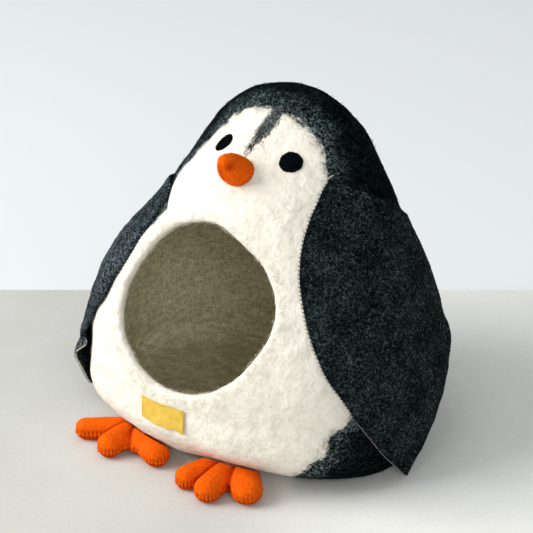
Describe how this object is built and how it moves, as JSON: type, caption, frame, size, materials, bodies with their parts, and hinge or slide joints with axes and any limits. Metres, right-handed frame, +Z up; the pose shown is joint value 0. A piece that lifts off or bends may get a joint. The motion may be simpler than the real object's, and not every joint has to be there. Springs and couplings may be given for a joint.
{
  "type": "felt cat cave",
  "caption": "Wet-felted wool cat cave shaped like a sitting penguin: round belly entrance into a hollow body, hanging felt wings, stuffed beak and feet.",
  "frame": {"origin": "in the flat underside, on the body's own middle plane; z = 0 is the floor", "axes": "+Z up; the entrance and the face look towards -Y; +X is the penguin's own left"},
  "size_m": [0.4279, 0.3816, 0.386],
  "materials": {
    "felt_cream": "matt wet-felted wool, cream with a charcoal back",
    "felt_charcoal_left": "matt charcoal melange felt",
    "felt_charcoal_right": "matt charcoal melange felt",
    "felt_orange_beak": "matt orange felt",
    "felt_orange_foot_left": "matt orange felt",
    "felt_orange_foot_right": "matt orange felt",
    "felt_black_left": "matt black felt",
    "felt_black_right": "matt black felt",
    "cloth_yellow": "matt woven ribbon"
  },
  "bodies": {
    "root": {"shell": "felt_cream", "wing_left": "felt_charcoal_left", "wing_right": "felt_charcoal_right", "beak": "felt_orange_beak", "foot_left": "felt_orange_foot_left", "foot_right": "felt_orange_foot_right", "eye_left": "felt_black_left", "eye_right": "felt_black_right", "label": "cloth_yellow"}
  },
  "joints": []
}
